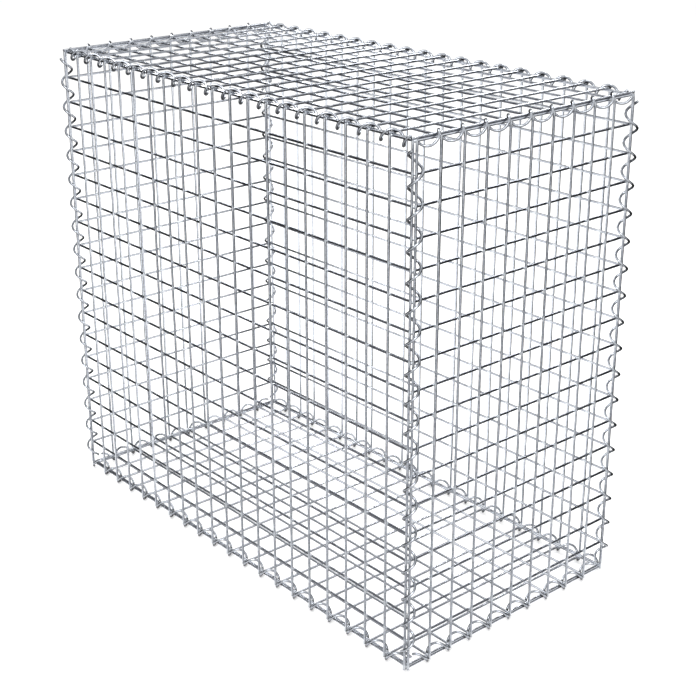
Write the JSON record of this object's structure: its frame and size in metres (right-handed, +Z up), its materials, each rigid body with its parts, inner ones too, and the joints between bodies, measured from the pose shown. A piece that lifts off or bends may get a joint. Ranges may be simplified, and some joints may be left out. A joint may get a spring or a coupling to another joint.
{
  "type": "gabion basket",
  "caption": "Closed rectangular gabion basket of welded wire mesh panels laced together along every edge with spiral wire binders, for filling with stone.",
  "frame": {"origin": "On the ground under the middle of the basket: the bottom centre of its box", "axes": "+X along the long side, +Y along the short side towards the back panel, +Z up"},
  "size_m": [1.0304, 0.5264, 0.9222],
  "materials": {
    "mesh_wire": "bright hot-dip zinc coating, slightly mottled",
    "binder_wire": "bright drawn zinc coating, smoother than the mesh"
  },
  "bodies": {
    "root": {"front_panel_ladder": "mesh_wire", "front_panel_rungs": "mesh_wire", "back_panel_ladder": "mesh_wire", "back_panel_rungs": "mesh_wire", "left_panel_ladder": "mesh_wire", "left_panel_rungs": "mesh_wire", "right_panel_ladder": "mesh_wire", "right_panel_rungs": "mesh_wire", "lid_ladder": "mesh_wire", "lid_rungs": "mesh_wire", "base_ladder": "mesh_wire", "base_rungs": "mesh_wire", "binder_foot_front": "binder_wire", "binder_foot_back": "binder_wire", "binder_foot_left": "binder_wire", "binder_foot_right": "binder_wire", "binder_top_front": "binder_wire", "binder_top_back": "binder_wire", "binder_top_left": "binder_wire", "binder_top_right": "binder_wire", "binder_front_left_corner": "binder_wire", "binder_front_right_corner": "binder_wire", "binder_back_left_corner": "binder_wire", "binder_back_right_corner": "binder_wire"}
  },
  "joints": []
}
